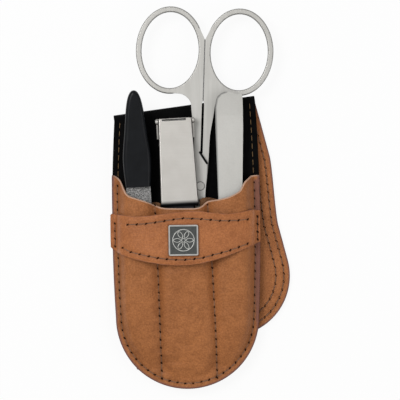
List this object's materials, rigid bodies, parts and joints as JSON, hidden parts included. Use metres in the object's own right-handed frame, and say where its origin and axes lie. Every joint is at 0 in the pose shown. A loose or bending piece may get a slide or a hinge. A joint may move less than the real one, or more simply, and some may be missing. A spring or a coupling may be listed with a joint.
{
  "type": "manicure set case",
  "caption": "Leather manicure pouch with a folded-back flap, pockets and a strap, holding nail scissors, folding clipper, tweezers and nail file.",
  "frame": {"origin": "on the table plane under the folded flap, level with the middle of the strap and on the pouch's middle line", "axes": "+Z out of the pouch's front, +Y up the pouch towards the scissors' rings, +X to the right seen from the front"},
  "size_m": [0.0685, 0.1479, 0.0191],
  "materials": {
    "tan_leather": "smooth full-grain leather with cut edges",
    "black_lining": "thin black lining leather",
    "steel": "satin stainless steel",
    "polished": "polished plate",
    "dark_inlay": "dark lacquer",
    "black_plastic": "matt moulded plastic",
    "file_coat": "steel with a grey sparkling abrasive coat"
  },
  "bodies": {
    "case": {"back_leather": "tan_leather", "back_lining": "black_lining", "fold_leather": "tan_leather", "fold_lining": "black_lining", "pocket_panel": "tan_leather", "strap_leather": "tan_leather", "strap_lining": "tan_leather", "badge_frame": "polished", "badge_field": "dark_inlay", "badge_backing": "steel"},
    "flap": {"flap_leather": "tan_leather", "flap_lining": "black_lining"},
    "scissors_left": {"scissors_half_left": "steel", "scissors_screw": "steel"},
    "scissors_right": {"scissors_half_right": "steel"},
    "clipper": {"clipper_lower_leaf": "steel", "clipper_stirrup": "steel", "clipper_cross_pin": "steel", "clipper_tail_rivet": "steel"},
    "clipper_upper": {"clipper_upper_leaf": "steel"},
    "clipper_lever": {"clipper_lever": "steel"},
    "tweezers": {"tweezers_back_arm": "steel"},
    "tweezers_front": {"tweezers_front_arm": "steel"},
    "file": {"file_handle": "black_plastic", "file_blade": "file_coat"}
  },
  "joints": [
    {"name": "flap_fold", "type": "hinge", "parent": "case", "child": "flap", "pos_m": [0, 0.04958, 0.0024], "axis": [0.9921, 0.1253, 0], "range_deg": [0, 180], "deforming": ["fold_leather", "fold_lining"]},
    {"name": "scissors_slide", "type": "slide", "parent": "case", "child": "scissors_left", "axis": [0.0454, 0.999, 0], "range_m": [-0.03, 0.06]},
    {"name": "scissors_open", "type": "hinge", "parent": "scissors_left", "child": "scissors_right", "pos_m": [0.0057, 0.0207, 0.005], "axis": [0, 0, -1], "range_deg": [0, 24]},
    {"name": "clipper_slide", "type": "slide", "parent": "case", "child": "clipper", "axis": [-0.0436, 0.999, 0], "range_m": [-0.012, 0.055]},
    {"name": "clipper_jaw", "type": "hinge", "parent": "clipper", "child": "clipper_upper", "pos_m": [-0.00176, 0.00014, 0.00907], "axis": [-0.999, -0.0436, 0], "range_deg": [0, 0.595], "stiffness_Nm_per_rad": 8},
    {"name": "clipper_lever_lift", "type": "hinge", "parent": "clipper", "child": "clipper_lever", "pos_m": [-0.00376, 0.0458, 0.01162], "axis": [-0.999, -0.0436, 0], "range_deg": [0, 30]},
    {"name": "tweezers_slide", "type": "slide", "parent": "case", "child": "tweezers", "axis": [0, 0.999, 0.0454], "range_m": [-0.006, 0.07]},
    {"name": "tweezers_squeeze", "type": "hinge", "parent": "tweezers", "child": "tweezers_front", "pos_m": [0.0171, 0.04786, 0.01009], "axis": [1, 0, 0], "range_deg": [0, 1.33], "stiffness_Nm_per_rad": 6},
    {"name": "file_slide", "type": "slide", "parent": "case", "child": "file", "axis": [-0.0348, 0.9966, 0.075], "range_m": [-0.001, 0.065]}
  ]
}
